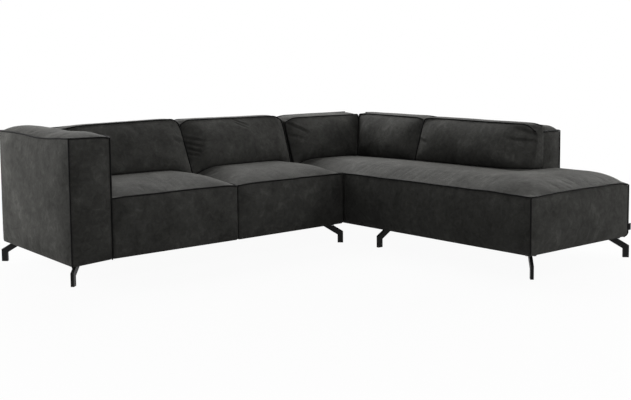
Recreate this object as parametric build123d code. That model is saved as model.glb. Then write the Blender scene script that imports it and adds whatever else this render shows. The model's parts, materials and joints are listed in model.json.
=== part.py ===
from build123d import *
import os
from collections import namedtuple
from math import atan2, cos, radians, sin, sqrt

# Corner sofa in two units, with five loose back cushions. Millimetres, +Z up.
# The origin is on the floor under the middle of the plan. +X runs along the two-seat unit towards
# the corner, and +Y runs from the open end of the corner unit to the rear.

# Plan sizes of the two units
arm_width = 240.0
seat_width = 825.0
unit_depth = 910.0
corner_width = 906.0
corner_length = 2400.0
unit_gap = 4.0
back_thickness = 170.0
open_end_length = 490.0

# Heights above the floor
leg_height = 120.0
seat_seam_height = 445.0
arm_seam_height = 775.0
back_seam_height = 722.0
cushion_seam_height = 782.0

# Crowns: the rise of a padded top above the seam round it, and how late it falls off to the seam
seat_crown = 56.0
arm_crown = 14.0
back_crown = 12.0
seat_fall_off = 3.0
long_fall_off = 8.0
least_rise = 1.0

# Loose back cushions
end_cushion_width = 880.0
cushion_top_depth = 104.0
cushion_base_depth = 212.0
cushion_crown = 34.0
cushion_crown_share = 0.36
cushion_side_draw = 9.0
cushion_top_rise = 9.0
cushion_gap = 5.0
rear_corner_forward = 45.0
side_corner_forward = -35.0
mitre_gap = 4.0

# Upholstery
cover_thickness = 3.0
padding_thickness = 15.0
cloth_thickness = 1.0
soft_gap = 0.4
block_gap = 0.3
strap_width = 60.0
strap_thickness = 2.0
strap_count = 3

# Timber
rail_thickness = 28.0
rail_height = 95.0
seat_rail_thickness = 56.0
cross_rail_drop = 20.0
board_thickness = 15.0
post_spacing = 560.0
leg_block_thickness = 30.0
leg_block_margin = 12.0

# Seat springs of sinuous wire and their clips
wire_radius = 2.0
spring_spacing = 165.0
spring_pitch = 58.0
spring_run = 44.0
clip_length = 18.0
clip_width = 11.0
clip_sheet = 1.2
clip_gap = 0.25

# Legs of bent steel tube with a welded screw plate, and their floor glides
bar_width = 35.0
bar_thickness = 18.0
tube_wall = 2.5
bar_slope = 31.0
bend_height = 62.0
foot_inset = 8.0
join_foot_inset = 22.0
middle_foot_inset = 45.0
middle_leg_setback = 284.0
plate_thickness = 4.0
plate_width = 58.0
plate_margin = 16.0
glide_thickness = 4.0
plug_height = 16.0
plug_gap = 0.3

# Screws through the leg plates and the connector brackets
screw_radius = 3.0
screw_length = 28.0
screw_head_radius = 5.5
screw_head_height = 3.0
screw_clearance = 0.25
plate_screw_margin = 9.0

# Connectors that hold the two units together: prongs below, sockets above
bracket_thickness = 4.0
bracket_width = 60.0
bracket_overhang = 30.0
bracket_screw_margin = 10.0
prong_radius = 6.0
prong_height = 36.0
prong_tip = 2.5
prong_clearance = 0.5
prong_pocket_clearance = 3.0
connector_setback = 260.0

# Places in plan
two_seat_length = arm_width + 2 * seat_width
total_length = two_seat_length + unit_gap + corner_width
x_left = -total_length / 2
x_right = total_length / 2
y_open = -corner_length / 2
y_rear = corner_length / 2
x_arm = x_left + arm_width
x_split = x_arm + seat_width
x_join = x_left + two_seat_length
x_corner = x_join + unit_gap
x_back = x_right - back_thickness
y_front = y_rear - unit_depth
y_back = y_rear - back_thickness
y_back_end = y_open + open_end_length
middle_leg_y = y_front - middle_leg_setback

# Levels of the base
frame_inset = cover_thickness + padding_thickness
base_level = leg_height + cloth_thickness
deck_level = base_level + rail_height
wall_level = deck_level + soft_gap
foam_level = deck_level + 2 * (wire_radius + clip_gap) + clip_sheet + soft_gap
plate_level = leg_height - plate_thickness

# A padded block: its plan between the seams, the height of its top seam, its crown and fall-off,
# and the axis that its sections follow
Block = namedtuple("Block", "x0 x1 y0 y1 seam crown fall_off along")

arm = Block(x_left, x_arm - block_gap, y_front, y_rear, arm_seam_height, arm_crown, long_fall_off, "Y")
left_seat = Block(
    x_arm, x_split - block_gap, y_front, y_back - block_gap, seat_seam_height, seat_crown, seat_fall_off, "Y"
)
right_seat = left_seat._replace(x0=x_split, x1=x_join)
corner_seat = left_seat._replace(x0=x_corner, x1=x_right, y0=y_open, fall_off=long_fall_off)
two_seat_back = Block(
    x_arm, x_join, y_back, y_rear, back_seam_height, back_crown, long_fall_off, "X"
)
short_back = two_seat_back._replace(x0=x_corner, x1=x_right)
long_back = Block(
    x_back, x_right, y_back_end, y_back - block_gap, back_seam_height, back_crown, long_fall_off, "Y"
)

# A unit's plan, and a leg: its foot and the angle that its bar leans out to
Plan = namedtuple("Plan", "x0 x1 y0 y1")
Leg = namedtuple("Leg", "x y angle")

two_seat_plan = Plan(x_left, x_join, y_front, y_rear)
corner_plan = Plan(x_corner, x_right, y_open, y_rear)


def box(x0, x1, y0, y1, z0, z1):
    """A box between two corners."""
    return Pos((x0 + x1) / 2, (y0 + y1) / 2, (z0 + z1) / 2) * Box(x1 - x0, y1 - y0, z1 - z0)


def post(x, y, z0, z1, radius):
    """An upright cylinder."""
    return Pos(x, y, (z0 + z1) / 2) * Cylinder(radius, z1 - z0)


def group(solids):
    """Separate solids that share one node."""
    return Compound(children=list(solids))


def inset(block, distance):
    """The block drawn in by a distance on its sides and its top."""
    return block._replace(
        x0=block.x0 + distance,
        x1=block.x1 - distance,
        y0=block.y0 + distance,
        y1=block.y1 - distance,
        seam=block.seam - distance,
    )


def inset_plan(plan, distance):
    """The plan drawn in by a distance."""
    return Plan(plan.x0 + distance, plan.x1 - distance, plan.y0 + distance, plan.y1 - distance)


def even_places(low, high, spacing):
    """Places in the middles of equal steps, each as near the spacing as fits."""
    count = max(1, round((high - low) / spacing))
    step = (high - low) / count
    return [low + step * (index + 0.5) for index in range(count)]


def drill(solids, places):
    """Solids with the screw holes at the places cut into them."""
    low = plate_level - screw_head_height
    high = leg_height + screw_length
    holes = [post(x, y, low, high, screw_radius + screw_clearance) for x, y in places]
    drilled = []
    for solid in solids:
        for hole in holes:
            solid = solid - hole
        drilled.append(solid)
    return drilled


# Padded forms


def crowned_form(block, low):
    """A block from the low level up to its seam, with a crowned top that falls off to the seam."""
    shares = (-1, -0.95, -0.84, -0.66, -0.36, 0, 0.36, 0.66, 0.84, 0.95, 1)
    along_x = block.along == "X"
    start, end = (block.x0, block.x1) if along_x else (block.y0, block.y1)
    near, far = (block.y0, block.y1) if along_x else (block.x0, block.x1)
    sections = []
    for share in shares:
        station = (start + end) / 2 + share * (end - start) / 2
        rise = least_rise + (block.crown - least_rise) * (1 - abs(share) ** block.fall_off)

        def at(across, height, station=station):
            return (station, across, height) if along_x else (across, station, height)

        edges = [
            Edge.make_line(at(near, low), at(far, low)),
            Edge.make_line(at(far, low), at(far, block.seam)),
            Edge.make_three_point_arc(
                at(far, block.seam), at((near + far) / 2, block.seam + rise), at(near, block.seam)
            ),
            Edge.make_line(at(near, block.seam), at(near, low)),
        ]
        sections.append(Wire(edges))
    return Solid.make_loft(sections)


def corner_seat_form(distance, low):
    """The corner unit's seat drawn in by a distance, with the place of the long back cut out."""
    notch = box(
        x_back - block_gap - distance,
        x_right + corner_width,
        y_back_end - block_gap - distance,
        y_rear + unit_depth,
        low - seat_seam_height,
        2 * seat_seam_height,
    )
    return crowned_form(inset(corner_seat, distance), low) - notch


def side_panels(block, outer, inner, low, high, sides):
    """Upright panels between two insets on the named sides of a block: W, E, S and N."""
    plan = inset_plan(Plan(block.x0, block.x1, block.y0, block.y1), outer)
    depth = inner - outer
    panels = {
        "W": (plan.x0, plan.x0 + depth, plan.y0, plan.y1),
        "E": (plan.x1 - depth, plan.x1, plan.y0, plan.y1),
        "S": (plan.x0, plan.x1, plan.y0, plan.y0 + depth),
        "N": (plan.x0, plan.x1, plan.y1 - depth, plan.y1),
    }
    return [box(*panels[side], low, high) for side in sides]


def join(first, others):
    """One solid from pieces that meet."""
    for other in others:
        first = first + other
    return first


def cover(block, sides):
    """A sewn cover: a shell over the block, open below, with panels down to the base on some sides."""
    outside = crowned_form(block, wall_level)
    inside = crowned_form(inset(block, cover_thickness), wall_level - cover_thickness)
    panels = side_panels(block, 0, cover_thickness, leg_height, wall_level, sides)
    return join(outside - inside, panels)


def padding(block, sides):
    """Foam round a frame, under the cover, with panels down to the base on some sides."""
    outer = cover_thickness + soft_gap
    inner = frame_inset - soft_gap
    outside = crowned_form(inset(block, outer), wall_level)
    hole = inset(block, inner)
    inside = box(hole.x0, hole.x1, hole.y0, hole.y1, wall_level - frame_inset, hole.seam)
    panels = side_panels(block, outer, inner, base_level, wall_level, sides)
    return join(outside - inside, panels)


def seat_foam(block, sides):
    """The foam of one seat: a crowned block that rolls down in front of the rail."""
    outer = cover_thickness + soft_gap
    panels = side_panels(block, outer, frame_inset - soft_gap, base_level, foam_level, sides)
    return join(crowned_form(inset(block, outer), foam_level), panels)


def corner_seat_panels(outer, inner, low, high):
    """Panels on the inner side, the open end and the free stretch of the outer side."""
    free_stretch = corner_seat._replace(y1=y_back_end - block_gap)
    panels = side_panels(corner_seat, outer, inner, low, high, "WS")
    return panels + side_panels(free_stretch, outer, inner, low, high, "E")


def corner_seat_cover():
    """The cover of the long seat, a shell that is open below."""
    outside = corner_seat_form(0, wall_level)
    inside = corner_seat_form(cover_thickness, wall_level - cover_thickness)
    return join(outside - inside, corner_seat_panels(0, cover_thickness, leg_height, wall_level))


def corner_seat_foam():
    """The foam of the long seat, which rolls down in front of the rails."""
    outer = cover_thickness + soft_gap
    panels = corner_seat_panels(outer, frame_inset - soft_gap, base_level, foam_level)
    return join(corner_seat_form(outer, foam_level), panels)


# Timber frames


def outer_rails(plan):
    """Two long rails along Y and two rails between them along X, with the plan drawn in."""
    edge = inset_plan(plan, frame_inset)
    inner = inset_plan(edge, rail_thickness)
    return {
        "west": box(edge.x0, inner.x0, edge.y0, edge.y1, base_level, deck_level),
        "east": box(inner.x1, edge.x1, edge.y0, edge.y1, base_level, deck_level),
        "south": box(inner.x0, inner.x1, edge.y0, inner.y0, base_level, deck_level),
        "north": box(inner.x0, inner.x1, inner.y1, edge.y1, base_level, deck_level),
    }


def two_seat_inner_rails():
    """The rail under the back and seats, a rail under the arm's inner side and one between the seats."""
    inner = inset_plan(two_seat_plan, frame_inset + rail_thickness)
    half = seat_rail_thickness / 2
    rails = [box(inner.x0, inner.x1, y_back - half, y_back + half, base_level, deck_level)]
    arm_rail_x = x_arm - block_gap - frame_inset - rail_thickness / 2
    for place in (arm_rail_x, x_split):
        x0 = place - rail_thickness / 2
        rails.append(box(x0, x0 + rail_thickness, inner.y0, y_back - half, base_level, deck_level))
    return rails


def corner_inner_rails():
    """Rails under the two backs, and cross rails under the springs on either side of the middle legs."""
    inner = inset_plan(corner_plan, frame_inset + rail_thickness)
    half = seat_rail_thickness / 2
    rails = [
        box(inner.x0, inner.x1, y_back - half, y_back + half, base_level, deck_level),
        box(x_back - half, x_back + half, inner.y0, y_back - half, base_level, deck_level),
    ]
    top = deck_level - cross_rail_drop
    for place in ((inner.y0 + middle_leg_y) / 2, (middle_leg_y + y_back) / 2):
        y0 = place - rail_thickness / 2
        rails.append(box(inner.x0, x_back - half, y0, y0 + rail_thickness, base_level, top))
        rails.append(box(x_back + half, inner.x1, y0, y0 + rail_thickness, base_level, top))
    return rails


def arm_frame():
    """Five boards that make the arm's box, standing on the rails."""
    edge = inset(arm, frame_inset)
    thick = board_thickness
    top = edge.seam - thick
    y0 = edge.y0 + thick
    y1 = edge.y1 - thick
    return [
        box(edge.x0, edge.x0 + thick, y0, y1, deck_level, top),
        box(edge.x1 - thick, edge.x1, y0, y1, deck_level, top),
        box(edge.x0, edge.x1, edge.y0, y0, deck_level, top),
        box(edge.x0, edge.x1, y1, edge.y1, deck_level, top),
        box(edge.x0, edge.x1, edge.y0, edge.y1, top, edge.seam),
    ]


def back_frame(block, front):
    """Posts on the rails and a rail along their tops, behind the webbing on the named front side."""
    edge = inset(block, frame_inset)
    room = strap_thickness + soft_gap
    x0, x1, y0, y1 = edge.x0, edge.x1, edge.y0, edge.y1
    if front == "S":
        y0 = y0 + room
    else:
        x0 = x0 + room
    top = edge.seam - rail_thickness
    low, high = (x0, x1) if front == "S" else (y0, y1)
    gaps = max(1, round((high - low - rail_thickness) / post_spacing))
    step = (high - low - rail_thickness) / gaps
    pieces = [box(x0, x1, y0, y1, top, edge.seam)]
    for index in range(gaps + 1):
        start = low + step * index
        end = start + rail_thickness
        if front == "S":
            pieces.append(box(start, end, y0, y1, deck_level, top))
        else:
            pieces.append(box(x0, x1, start, end, deck_level, top))
    return pieces


def back_straps(block, front):
    """Webbing straps stretched over the posts on the named front side of a back."""
    edge = inset(block, frame_inset)
    straps = []
    for middle in even_places(deck_level, edge.seam, (edge.seam - deck_level) / strap_count):
        low = middle - strap_width / 2
        high = middle + strap_width / 2
        if front == "S":
            y0 = edge.y0 + soft_gap
            straps.append(box(edge.x0, edge.x1, y0, y0 + strap_thickness, low, high))
        else:
            x0 = edge.x0 + soft_gap
            straps.append(box(x0, x0 + strap_thickness, edge.y0, edge.y1, low, high))
    return straps


# Springs


def spring(span):
    """A sinuous wire spring along +Y over the span, with its end runs across it."""
    runs = max(2, round(span / spring_pitch)) + 1
    step = span / (runs - 1)
    half = spring_run / 2
    edges = []
    for index in range(runs):
        side = half if index % 2 == 0 else -half
        y = step * index
        edges.append(Edge.make_line((-side, y, 0), (side, y, 0)))
        if index < runs - 1:
            bend = (side + step / 2 if side > 0 else side - step / 2, y + step / 2, 0)
            edges.append(Edge.make_three_point_arc((side, y, 0), bend, (side, y + step, 0)))
    path = Wire(edges)
    section = Plane(origin=(-half, 0, 0), z_dir=(1, 0, 0)) * Circle(wire_radius)
    return sweep(section, path=path)


def clip():
    """A sheet saddle over the end run of a spring."""
    inner = wire_radius + clip_gap
    height = 2 * inner + clip_sheet
    saddle = Pos(0, 0, height / 2) * Box(clip_length, clip_width, height)
    channel = Pos(0, 0, inner) * Box(clip_length, 2 * inner, 2 * inner)
    return saddle - channel


def spring_row(ends_from, ends_to, places, along):
    """Springs and clips between two lines of rail, at the given places."""
    level = deck_level + wire_radius + clip_gap
    wire = spring(ends_to - ends_from)
    saddle = clip()
    springs = []
    clips = []
    for place in places:
        if along == "Y":
            turn = Pos(place, ends_from, 0)
            far = Pos(place, ends_to, 0)
        else:
            turn = Pos(ends_from, place, 0) * Rot(0, 0, -90)
            far = Pos(ends_to, place, 0) * Rot(0, 0, -90)
        springs.append(Pos(0, 0, level) * turn * wire)
        clips.append(Pos(0, 0, deck_level) * turn * saddle)
        clips.append(Pos(0, 0, deck_level) * far * saddle)
    return springs, clips


def two_seat_springs():
    """Springs from the front rail to the seat rail under both seats."""
    front = y_front + frame_inset + rail_thickness / 2
    rear = y_back - seat_rail_thickness / 4
    places = even_places(x_arm, x_split, spring_spacing) + even_places(x_split, x_join, spring_spacing)
    return spring_row(front, rear, places, "Y")


def corner_springs():
    """Springs across the corner unit, from its inner rail to the rail under the long back."""
    inner = x_corner + frame_inset + rail_thickness / 2
    outer = x_back - seat_rail_thickness / 4
    end = y_open + frame_inset + rail_thickness
    places = even_places(end, y_back - seat_rail_thickness / 2, spring_spacing)
    return spring_row(inner, outer, places, "X")


# Legs

slope = radians(bar_slope)
plate_reach = (plate_level - bend_height) * cos(slope) / sin(slope)
plate_length = bar_width / sin(slope) + 2 * plate_margin
screw_run = plate_length / 2 - plate_screw_margin
screw_side = plate_width / 2 - plate_screw_margin
diagonal = sqrt(0.5)


def bar_profile(width):
    """Outline of the bent bar in its own plane: a foot, a bend and a sloping run up to the plate."""
    half = width / 2
    shift = half * (1 - sin(slope)) / cos(slope)
    outer_bend = bend_height + half * cos(slope) - shift * sin(slope)
    inner_bend = bend_height - half * cos(slope) + shift * sin(slope)
    top_half = half / sin(slope)
    corners = [
        (-half, glide_thickness),
        (half, glide_thickness),
        (half, outer_bend),
        (-plate_reach + top_half, plate_level),
        (-plate_reach - top_half, plate_level),
        (-half, inner_bend),
    ]
    return make_face(Polyline(*corners, close=True))


def bar(width, thickness):
    """A bent bar with its foot under the origin, leaning out along +X."""
    face = Plane.XZ * bar_profile(width)
    return extrude(face, amount=thickness / 2, both=True)


def screw_places(leg):
    """The four screws of a leg's plate."""
    angle = radians(leg.angle)
    places = []
    for run in (-screw_run, screw_run):
        for side in (-screw_side, screw_side):
            along = run - plate_reach
            x = leg.x + along * cos(angle) - side * sin(angle)
            y = leg.y + along * sin(angle) + side * cos(angle)
            places.append((x, y))
    return places


def leg_solid(leg):
    """A bent tube welded to its screw plate."""
    tube = bar(bar_width, bar_thickness) - bar(bar_width - 2 * tube_wall, bar_thickness - 2 * tube_wall)
    plate = Box(plate_length, plate_width, plate_thickness)
    plate = Pos(-plate_reach, 0, plate_level + plate_thickness / 2) * plate
    placed = Pos(leg.x, leg.y, 0) * Rot(0, 0, leg.angle) * (tube + plate)
    return drill([placed], screw_places(leg))[0]


def glide(leg):
    """A plastic glide under a foot, with a plug inside the tube."""
    pad = Pos(0, 0, glide_thickness / 2) * Box(bar_width, bar_thickness, glide_thickness)
    room = 2 * (tube_wall + plug_gap)
    plug = Pos(0, 0, glide_thickness + plug_height / 2) * Box(
        bar_width - room, bar_thickness - room, plug_height
    )
    return Pos(leg.x, leg.y, 0) * Rot(0, 0, leg.angle) * (pad + plug)


def screw(x, y, head_level):
    """A screw driven up from a plate, with its head under the head level."""
    head = post(x, y, head_level - screw_head_height, head_level, screw_head_radius)
    return head + post(x, y, head_level, head_level + screw_length, screw_radius)


def corner_legs(plan, names):
    """Legs at the four corners of a plan, leaning out diagonally, under the given names."""
    foot = inset_plan(plan, foot_inset)
    if plan.x0 == x_corner:
        foot = foot._replace(x0=plan.x0 + join_foot_inset)
    if plan.x1 == x_join:
        foot = foot._replace(x1=plan.x1 - join_foot_inset)
    corners = [
        Leg(foot.x0, foot.y0, 225),
        Leg(foot.x1, foot.y0, 315),
        Leg(foot.x0, foot.y1, 135),
        Leg(foot.x1, foot.y1, 45),
    ]
    return dict(zip(names, corners))


def leg_block(leg, plan, rails):
    """A timber block over a leg's plate, between the rails of the plan."""
    inner = inset_plan(plan, frame_inset + rail_thickness)
    angle = radians(leg.angle)
    middle_x = leg.x - plate_reach * cos(angle)
    middle_y = leg.y - plate_reach * sin(angle)
    spread_x = screw_run * abs(cos(angle)) + screw_side * abs(sin(angle)) + leg_block_margin
    spread_y = screw_run * abs(sin(angle)) + screw_side * abs(cos(angle)) + leg_block_margin
    x0 = max(middle_x - spread_x, inner.x0) if cos(angle) >= 0 else inner.x0
    x1 = min(middle_x + spread_x, inner.x1) if cos(angle) < 0 else inner.x1
    y0, y1 = middle_y - spread_y, middle_y + spread_y
    if abs(sin(angle)) > diagonal / 2:
        y0, y1 = (inner.y0, y1) if sin(angle) < 0 else (y0, inner.y1)
    block = box(x0, x1, y0, y1, base_level, base_level + leg_block_thickness)
    for rail in rails:
        block = block - rail
    return drill([block], screw_places(leg))[0]


# Connectors

connector_places = [y_front + connector_setback, y_rear - connector_setback]
socket_x = x_join - frame_inset - rail_thickness / 2
prong_plate_x = x_corner + frame_inset + rail_thickness / 2
bracket_level = leg_height - bracket_thickness
prong_arm_level = bracket_level - prong_clearance
bracket_screw_side = bracket_width / 2 - bracket_screw_margin


def bracket_screw_places(x):
    """Screws on either side of each connector, under the rail at x."""
    return [(x, y + side) for y in connector_places for side in (-bracket_screw_side, bracket_screw_side)]


def socket_plate(y):
    """A plate under the two-seat unit's end rail with a hole for a prong."""
    half = bracket_width / 2
    x1 = min(socket_x + bracket_overhang, x_join - cover_thickness)
    plate = box(socket_x - bracket_overhang, x1, y - half, y + half, bracket_level, leg_height)
    plate = plate - post(socket_x, y, bracket_level, leg_height, prong_radius + prong_clearance)
    return drill([plate], bracket_screw_places(socket_x))[0]


def prong_bracket(y):
    """A plate under the corner unit's inner rail with an arm and a prong under the two-seat unit."""
    half = bracket_width / 2
    arm_half = half - 2 * bracket_screw_margin
    x0 = x_corner + cover_thickness
    plate = box(x0, prong_plate_x + bracket_overhang, y - half, y + half, bracket_level, leg_height)
    plate = drill([plate], bracket_screw_places(prong_plate_x))[0]
    low = prong_arm_level - bracket_thickness
    riser = box(x0, x0 + bracket_thickness, y - arm_half, y + arm_half, low, bracket_level)
    reach = box(socket_x - 2 * prong_radius, x0, y - arm_half, y + arm_half, low, prong_arm_level)
    shank = prong_arm_level + prong_height - prong_radius
    prong = post(socket_x, y, prong_arm_level, shank, prong_radius)
    tip = Pos(socket_x, y, shank + prong_radius / 2) * Cone(prong_radius, prong_tip, prong_radius)
    return join(plate, [riser, reach, prong, tip])


def prong_pockets():
    """Pockets in the end rail above the sockets."""
    high = prong_arm_level + prong_height + prong_pocket_clearance
    radius = prong_radius + prong_pocket_clearance
    return [post(socket_x, y, bracket_level, high, radius) for y in connector_places]


def underside_cloth(plan, places, pockets):
    """A thin cloth under the rails, with holes for the screws and the prongs."""
    edge = inset_plan(plan, cover_thickness + soft_gap)
    sheet = drill([box(*edge, leg_height, base_level)], places)[0]
    for pocket in pockets:
        sheet = sheet - pocket
    return sheet


# Loose back cushions

cushion_level = seat_seam_height + soft_gap
cushion_height = cushion_seam_height - cushion_level
cushion_lean = atan2(cushion_base_depth - cushion_top_depth, cushion_height)
cushion_crown_margin = cushion_crown_share * cushion_height
crown_steps = 4


def ring(corners, draw, rise):
    """A closed outline through four corners: a straight bottom, drawn-in sides and a raised top."""
    low_left, low_right, high_right, high_left = [Vector(*corner) for corner in corners]
    across = (low_right - low_left).normalized()
    up = (high_left - low_left).normalized()
    right = (low_right + high_right) / 2 - across * draw
    top = (high_right + high_left) / 2 + up * rise
    left = (low_left + high_left) / 2 + across * draw
    edges = [
        Edge.make_line(low_left, low_right),
        Edge.make_three_point_arc(low_right, right, high_right),
        Edge.make_three_point_arc(high_right, top, high_left),
        Edge.make_three_point_arc(high_left, left, low_left),
    ]
    return Wire(edges)


def cushion_form(width, forward, distance):
    """A cushion drawn in by a distance: a flat rear, a band round it and a leaning crowned front."""

    def corners(margin):
        low = distance + margin
        high = cushion_height - low
        return [(low, low), (width - low, low), (width - low, high), (low, high)]

    def front_ring(margin, out):
        points = []
        for across, height in corners(margin):
            depth = cushion_base_depth + forward
            depth += (cushion_top_depth - cushion_base_depth) * height / cushion_height
            depth += (out - distance) * cos(cushion_lean)
            points.append((across, -depth, height + (out - distance) * sin(cushion_lean)))
        return ring(points, cushion_side_draw, cushion_top_rise)

    rear_points = [(across, -distance, height) for across, height in corners(0)]
    rear = ring(rear_points, cushion_side_draw, cushion_top_rise)
    rings = [front_ring(0, 0)]
    for step in range(1, crown_steps + 1):
        share = step / crown_steps
        rings.append(front_ring(cushion_crown_margin * share, cushion_crown * (1 - (1 - share) ** 2)))
    return Solid.make_loft([rear, rings[0]], ruled=True) + Solid.make_loft(rings)


def mitre_cut(side, distance):
    """All that lies past the corner's diagonal for a cushion on the named side, plus a distance."""
    size = 2 * corner_length
    shift = size / 2 - mitre_gap / 2 - distance
    sign = 1 if side == "rear" else -1
    corner_x = x_back + rear_corner_forward - side_corner_forward
    middle = Pos(corner_x + sign * shift * diagonal, y_back - sign * shift * diagonal, 0)
    return middle * Rot(0, 0, -45) * Box(size, size, size)


# A cushion's place: its width, the rear end of its left side, how far its front stands forward of
# the others, whether it faces -Y or -X, the seat form that it stands on, and its side of the
# corner's diagonal if it is beside the corner
CushionPlace = namedtuple("CushionPlace", "width x y forward facing seat corner_side")


def cushion_places(left_form, right_form, corner_form):
    """The five cushions from left to right, round the corner."""
    rear_y = y_back - soft_gap
    rear_x = x_back - soft_gap
    half = cushion_gap / 2
    corner_end_x = rear_x - cushion_top_depth - side_corner_forward - mitre_gap / 2
    corner_end_y = rear_y - cushion_top_depth - rear_corner_forward - mitre_gap / 2
    split_y = y_back_end + end_cushion_width
    first_width = seat_width - block_gap - cushion_gap - half
    second_width = seat_width - cushion_gap
    third_width = corner_end_x - x_corner - half
    fourth_width = corner_end_y - split_y - half
    fifth_width = end_cushion_width - half - cushion_gap
    return {
        "back_cushion_1": CushionPlace(
            first_width, x_arm + cushion_gap, rear_y, 0, "-Y", left_form, None
        ),
        "back_cushion_2": CushionPlace(
            second_width, x_split + half, rear_y, 0, "-Y", right_form, None
        ),
        "back_cushion_3": CushionPlace(
            third_width, x_corner + half, rear_y, rear_corner_forward, "-Y", corner_form, "rear"
        ),
        "back_cushion_4": CushionPlace(
            fourth_width, rear_x, corner_end_y, side_corner_forward, "-X", corner_form, "side"
        ),
        "back_cushion_5": CushionPlace(
            fifth_width, rear_x, split_y - half, 0, "-X", corner_form, None
        ),
    }


def placed_cushion(place, distance):
    """A cushion, drawn in by a distance, in its place and cut to the seat that it stands on."""
    turn = Rot(0, 0, -90) if place.facing == "-X" else Rot(0, 0, 0)
    solid = Pos(place.x, place.y, cushion_level) * turn * cushion_form(place.width, place.forward, distance)
    solid = solid - Pos(0, 0, soft_gap + distance) * place.seat
    if place.corner_side:
        solid = solid - mitre_cut(place.corner_side, distance)
    return solid


# Assembly


def two_seat_unit():
    """Nodes of the two-seat unit."""
    names = ["front_left", "front_right", "rear_left", "rear_right"]
    legs = corner_legs(two_seat_plan, ["two_seat_leg_" + name for name in names])
    leg_screws = [place for leg in legs.values() for place in screw_places(leg)]
    socket_screws = bracket_screw_places(socket_x)
    rails = outer_rails(two_seat_plan)
    pockets = prong_pockets()
    for pocket in pockets:
        rails["east"] = rails["east"] - pocket
    inner_rails = two_seat_inner_rails()
    springs, clips = two_seat_springs()
    nodes = {
        "two_seat_outer_rails": group(drill(rails.values(), leg_screws + socket_screws)),
        "two_seat_inner_rails": group(drill(inner_rails, leg_screws)),
        "two_seat_leg_blocks": group(leg_block(leg, two_seat_plan, inner_rails) for leg in legs.values()),
        "two_seat_springs": group(springs),
        "two_seat_spring_clips": group(clips),
        "left_seat_foam": seat_foam(left_seat, "S"),
        "left_seat_cover": cover(left_seat, "S"),
        "right_seat_foam": seat_foam(right_seat, "SE"),
        "right_seat_cover": cover(right_seat, "SE"),
        "arm_frame": group(arm_frame()),
        "arm_foam": padding(arm, "WSN"),
        "arm_cover": cover(arm, "WSN"),
        "two_seat_back_frame": group(back_frame(two_seat_back, "S")),
        "two_seat_back_webbing": group(back_straps(two_seat_back, "S")),
        "two_seat_back_foam": padding(two_seat_back, "NE"),
        "two_seat_back_cover": cover(two_seat_back, "NE"),
        "two_seat_underside_cloth": underside_cloth(two_seat_plan, leg_screws + socket_screws, pockets),
        "two_seat_screws": group(
            [screw(x, y, plate_level) for x, y in leg_screws]
            + [screw(x, y, bracket_level) for x, y in socket_screws]
        ),
        "two_seat_glides": group(glide(leg) for leg in legs.values()),
        "connector_sockets": group(socket_plate(y) for y in connector_places),
    }
    for name, leg in legs.items():
        nodes[name] = leg_solid(leg)
    return nodes


def corner_unit():
    """Nodes of the corner unit."""
    names = ["end_inner", "end_outer", "rear_inner", "rear_outer"]
    legs = corner_legs(corner_plan, ["corner_leg_" + name for name in names])
    legs["corner_leg_middle_inner"] = Leg(x_corner + middle_foot_inset, middle_leg_y, 180)
    legs["corner_leg_middle_outer"] = Leg(x_right - middle_foot_inset, middle_leg_y, 0)
    leg_screws = [place for leg in legs.values() for place in screw_places(leg)]
    prong_screws = bracket_screw_places(prong_plate_x)
    inner_rails = corner_inner_rails()
    springs, clips = corner_springs()
    nodes = {
        "corner_outer_rails": group(drill(outer_rails(corner_plan).values(), leg_screws + prong_screws)),
        "corner_inner_rails": group(drill(inner_rails, leg_screws)),
        "corner_leg_blocks": group(leg_block(leg, corner_plan, inner_rails) for leg in legs.values()),
        "corner_springs": group(springs),
        "corner_spring_clips": group(clips),
        "corner_seat_foam": corner_seat_foam(),
        "corner_seat_cover": corner_seat_cover(),
        "long_back_frame": group(back_frame(long_back, "W")),
        "long_back_foam": padding(long_back, "E"),
        "long_back_cover": cover(long_back, "E"),
        "short_back_frame": group(back_frame(short_back, "S")),
        "short_back_foam": padding(short_back, "WNE"),
        "short_back_cover": cover(short_back, "WNE"),
        "corner_back_webbing": group(back_straps(long_back, "W") + back_straps(short_back, "S")),
        "corner_underside_cloth": underside_cloth(corner_plan, leg_screws + prong_screws, []),
        "corner_screws": group(
            [screw(x, y, plate_level) for x, y in leg_screws]
            + [screw(x, y, bracket_level) for x, y in prong_screws]
        ),
        "corner_glides": group(glide(leg) for leg in legs.values()),
        "connector_prongs": group(prong_bracket(y) for y in connector_places),
    }
    for name, leg in legs.items():
        nodes[name] = leg_solid(leg)
    return nodes


def back_cushions():
    """A cover and a filling for each loose cushion."""
    left_form = crowned_form(left_seat, wall_level)
    right_form = crowned_form(right_seat, wall_level)
    corner_form = corner_seat_form(0, wall_level)
    nodes = {}
    for name, place in cushion_places(left_form, right_form, corner_form).items():
        outside = placed_cushion(place, 0)
        nodes[name + "_cover"] = outside - placed_cushion(place, cover_thickness)
        nodes[name + "_filling"] = placed_cushion(place, cover_thickness + soft_gap)
    return nodes


os.makedirs("parts", exist_ok=True)
for node, shape in {**two_seat_unit(), **corner_unit(), **back_cushions()}.items():
    export_step(shape, "parts/" + node + ".step")
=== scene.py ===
import json
import math

import bpy
import numpy as np
from mathutils import Matrix, Vector, noise


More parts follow.
